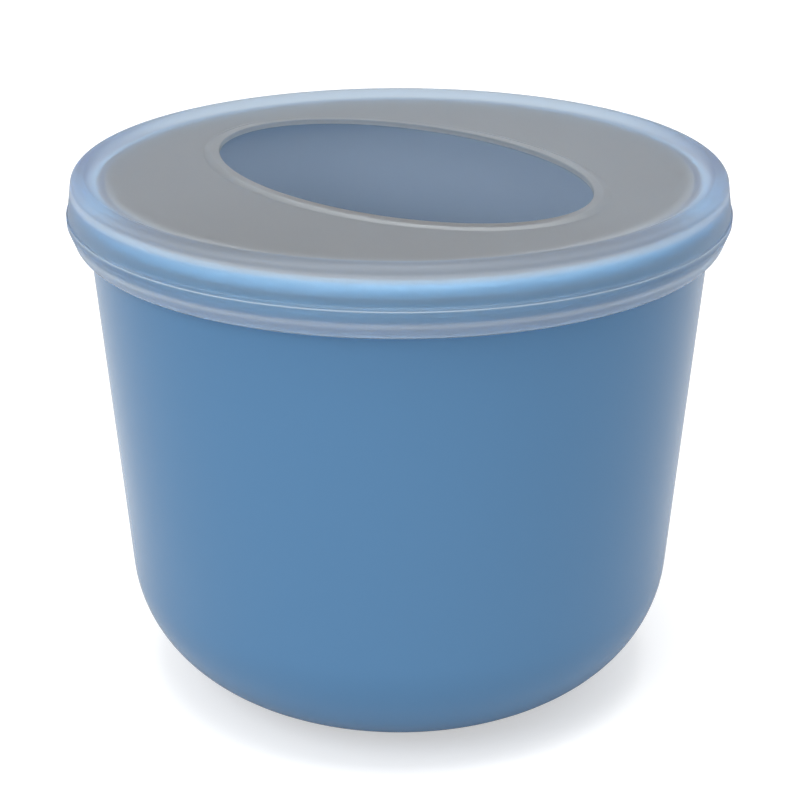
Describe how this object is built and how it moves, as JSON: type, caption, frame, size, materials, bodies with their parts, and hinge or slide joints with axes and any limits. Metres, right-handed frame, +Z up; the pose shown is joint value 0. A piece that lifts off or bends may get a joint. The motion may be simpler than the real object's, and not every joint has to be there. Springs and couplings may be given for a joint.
{
  "type": "food container",
  "caption": "Round straight-sided food pot with a rounded base and a press-on translucent lid, which has an oval opening for a small child's hand.",
  "frame": {"origin": "middle of the flat foot that the pot stands on", "axes": "+Z up along the pot's axis, +X to the right and -Y towards the viewer in the picture; the lid's opening has its long axis 47 degrees clockwise from +X, seen from above"},
  "size_m": [0.1, 0.1, 0.083],
  "materials": {
    "pot_plastic": "satin blue polypropylene",
    "lid_plastic": "frosted natural polyethylene, translucent"
  },
  "bodies": {
    "pot_body": {"pot": "pot_plastic"},
    "lid_body": {"lid": "lid_plastic"}
  },
  "joints": [
    {"name": "lid_lift", "type": "slide", "parent": "pot_body", "child": "lid_body", "axis": [0, 0, 1], "range_m": [0, 0.06]}
  ]
}
